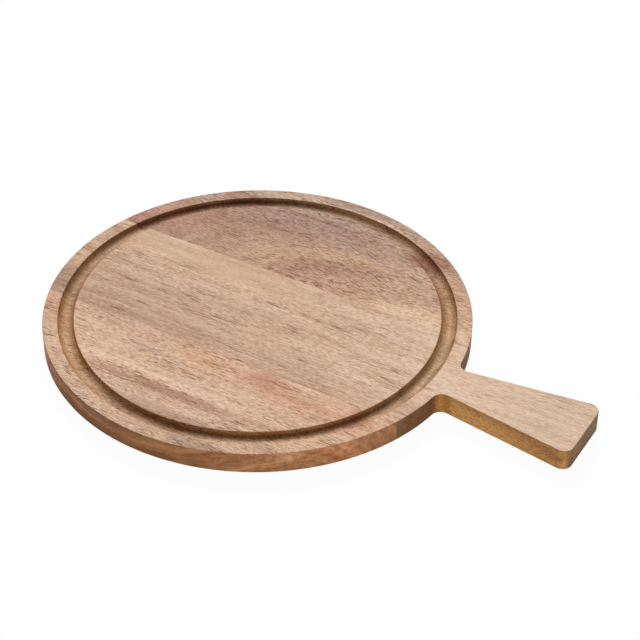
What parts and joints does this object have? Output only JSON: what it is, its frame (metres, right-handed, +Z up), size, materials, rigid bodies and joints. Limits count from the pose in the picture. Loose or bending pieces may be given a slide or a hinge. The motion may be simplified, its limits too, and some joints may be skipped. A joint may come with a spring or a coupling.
{
  "type": "pizza serving board",
  "caption": "Round wooden serving board, edge-glued from staves, with a round-bottomed juice groove inside its rim and a short flared paddle handle.",
  "frame": {"origin": "centre of the disc on the underside of the board", "axes": "+X along the handle, towards its end; +Z up out of the grooved serving face; +Y towards the right-hand stave, seen by someone who holds the handle"},
  "size_m": [0.3992, 0.3, 0.016],
  "materials": {
    "handle_stave_wood": "sanded and oiled, satin, light tan with the grain along the handle",
    "right_stave_wood": "sanded and oiled, satin, pinkish brown and mottled with the grain along the handle",
    "left_stave_wood": "sanded and oiled, satin, pinkish tan, darker along its outer seam, with the grain along the handle",
    "edge_stave_wood": "sanded and oiled, satin, greyish tan and flecked with the grain along the handle"
  },
  "bodies": {
    "root": {"handle_stave": "handle_stave_wood", "right_stave": "right_stave_wood", "left_stave": "left_stave_wood", "edge_stave": "edge_stave_wood"}
  },
  "joints": []
}
